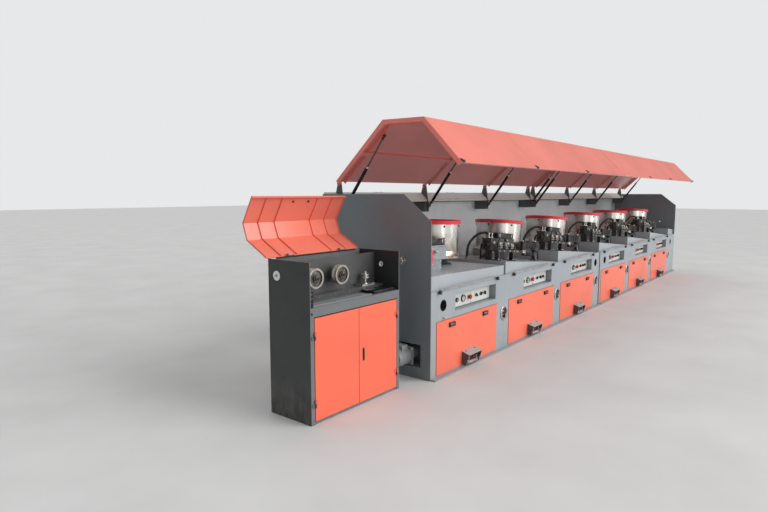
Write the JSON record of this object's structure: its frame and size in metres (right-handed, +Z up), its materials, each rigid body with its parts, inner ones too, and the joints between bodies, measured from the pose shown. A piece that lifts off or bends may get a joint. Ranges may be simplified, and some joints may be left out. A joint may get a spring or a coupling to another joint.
{
  "type": "straight-line wire drawing machine with infeed roller stand",
  "caption": "Long steel wire drawing line: a housing with drawing blocks on sloping decks under raised hinged canopies, and a separate infeed roller stand with doors and a cover.",
  "frame": {"origin": "on the floor in the middle of the main line's length and depth", "axes": "+X along the line from the infeed end to the outlet end, +Y to the back, +Z up"},
  "size_m": [10.259, 1.5787, 2.2],
  "materials": {
    "grey_paint": "satin light grey-blue machine paint",
    "dark_grey_paint": "satin dark grey machine paint",
    "red_paint": "satin orange-red machine paint",
    "crimson_rim": "ground steel barrel with a crimson painted rim",
    "bright_steel": "bright machined steel",
    "black_steel": "black painted steel",
    "black_plastic": "black moulded plastic",
    "pale_panel": "pale instrument plate",
    "beige_duct": "pale beige sheet",
    "rubber": "black rubber"
  },
  "bodies": {
    "machine": {"bed_near": "dark_grey_paint", "bed_far": "dark_grey_paint", "front_band_near": "grey_paint", "front_band_far": "grey_paint", "front_posts": "grey_paint", "access_panels": "red_paint", "panel_latches": "black_plastic", "rear_panels": "red_paint", "instrument_panels": "pale_panel", "instruments": "black_plastic", "port_cups": "bright_steel", "rest_rails": "grey_paint", "rest_knobs": "rubber", "foot_rails": "grey_paint", "pedal_guards": "dark_grey_paint", "pedals": "bright_steel", "wedge_housings": "grey_paint", "end_plate_infeed": "dark_grey_paint", "end_plate_outlet": "dark_grey_paint", "back_walls": "grey_paint", "rear_ducts": "beige_duct", "strut_brackets": "dark_grey_paint", "end_motor": "grey_paint", "wire_guides": "bright_steel", "grab_handle": "red_paint", "block_pedestals": "dark_grey_paint", "die_boxes": "black_steel", "guide_arms": "black_steel", "guide_rollers": "bright_steel", "stand_walls": "dark_grey_paint", "stand_shelves": "grey_paint", "stand_back": "dark_grey_paint", "stand_tray": "grey_paint", "stand_rollers": "bright_steel"},
    "canopy_near": {"canopy_near": "red_paint"},
    "canopy_far": {"canopy_far": "red_paint"},
    "strut_cylinders_near": {"strut_cylinders_near": "black_steel"},
    "strut_rods_near": {"strut_rods_near": "bright_steel"},
    "strut_cylinders_far": {"strut_cylinders_far": "black_steel"},
    "strut_rods_far": {"strut_rods_far": "bright_steel"},
    "stand_cover": {"stand_cover": "red_paint"},
    "stand_door_left": {"stand_door_left": "red_paint"},
    "stand_door_right": {"stand_door_right": "red_paint"},
    "pulley_first": {"pulley_first": "bright_steel"},
    "pulley_second": {"pulley_second": "bright_steel"},
    "block_1": {"block_1": "crimson_rim"},
    "block_2": {"block_2": "crimson_rim"},
    "block_3": {"block_3": "crimson_rim"},
    "block_4": {"block_4": "crimson_rim"},
    "block_5": {"block_5": "crimson_rim"},
    "block_6": {"block_6": "crimson_rim"}
  },
  "joints": [
    {"name": "canopy_near_hinge", "type": "hinge", "parent": "machine", "child": "canopy_near", "pos_m": [-2.345, 0.455, 1.667], "axis": [1, 0, 0], "range_deg": [0, 43.2]},
    {"name": "strut_near_swing", "type": "hinge", "parent": "machine", "child": "strut_cylinders_near", "pos_m": [-2.345, 0.392, 1.446], "axis": [1, 0, 0], "range_deg": [-0.5, 39.38]},
    {"name": "strut_near_slide", "type": "slide", "parent": "strut_cylinders_near", "child": "strut_rods_near", "axis": [0, -0.5942, 0.8043], "range_m": [-0.1629, 0.002]},
    {"name": "canopy_far_hinge", "type": "hinge", "parent": "machine", "child": "canopy_far", "pos_m": [2.125, 0.455, 1.667], "axis": [1, 0, 0], "range_deg": [0, 43.2]},
    {"name": "strut_far_swing", "type": "hinge", "parent": "machine", "child": "strut_cylinders_far", "pos_m": [2.125, 0.392, 1.446], "axis": [1, 0, 0], "range_deg": [-0.5, 39.38]},
    {"name": "strut_far_slide", "type": "slide", "parent": "strut_cylinders_far", "child": "strut_rods_far", "axis": [0, -0.5942, 0.8043], "range_m": [-0.1629, 0.002]},
    {"name": "block_1_spin", "type": "hinge", "parent": "machine", "child": "block_1", "pos_m": [-3.652, -0.07, 0.86213], "axis": [0.025, 0, 0.9997], "continuous": true},
    {"name": "block_2_spin", "type": "hinge", "parent": "machine", "child": "block_2", "pos_m": [-2.252, -0.07, 0.80662], "axis": [0.0937, 0, 0.9956], "continuous": true},
    {"name": "block_3_spin", "type": "hinge", "parent": "machine", "child": "block_3", "pos_m": [-0.852, -0.07, 0.80662], "axis": [0.0937, 0, 0.9956], "continuous": true},
    {"name": "block_4_spin", "type": "hinge", "parent": "machine", "child": "block_4", "pos_m": [0.548, -0.07, 0.81792], "axis": [0.0937, 0, 0.9956], "continuous": true},
    {"name": "block_5_spin", "type": "hinge", "parent": "machine", "child": "block_5", "pos_m": [1.948, -0.07, 0.81792], "axis": [0.0937, 0, 0.9956], "continuous": true},
    {"name": "block_6_spin", "type": "hinge", "parent": "machine", "child": "block_6", "pos_m": [3.348, -0.07, 0.81792], "axis": [0.0937, 0, 0.9956], "continuous": true},
    {"name": "stand_cover_hinge", "type": "hinge", "parent": "machine", "child": "stand_cover", "pos_m": [-5.26, -0.094, 1.13], "axis": [1, 0, 0], "range_deg": [0, 106]},
    {"name": "stand_door_left_hinge", "type": "hinge", "parent": "machine", "child": "stand_door_left", "pos_m": [-5.7135, -0.525, 0.4], "axis": [0, 0, 1], "range_deg": [-110, 0]},
    {"name": "stand_door_right_hinge", "type": "hinge", "parent": "machine", "child": "stand_door_right", "pos_m": [-4.8065, -0.525, 0.4], "axis": [0, 0, 1], "range_deg": [0, 110]},
    {"name": "pulley_first_spin", "type": "hinge", "parent": "machine", "child": "pulley_first", "pos_m": [-5.539, -0.365, 0.976], "axis": [0, 1, 0], "continuous": true},
    {"name": "pulley_second_spin", "type": "hinge", "parent": "machine", "child": "pulley_second", "pos_m": [-5.27, -0.365, 0.976], "axis": [0, 1, 0], "continuous": true}
  ],
  "couplings": [
    {"joint": "strut_near_swing", "follows": "canopy_near_hinge", "ratio": 0.89998},
    {"joint": "strut_near_slide", "follows": "canopy_near_hinge", "m_per_rad": -0.21333},
    {"joint": "strut_far_swing", "follows": "canopy_far_hinge", "ratio": 0.89998},
    {"joint": "strut_far_slide", "follows": "canopy_far_hinge", "m_per_rad": -0.21333}
  ]
}
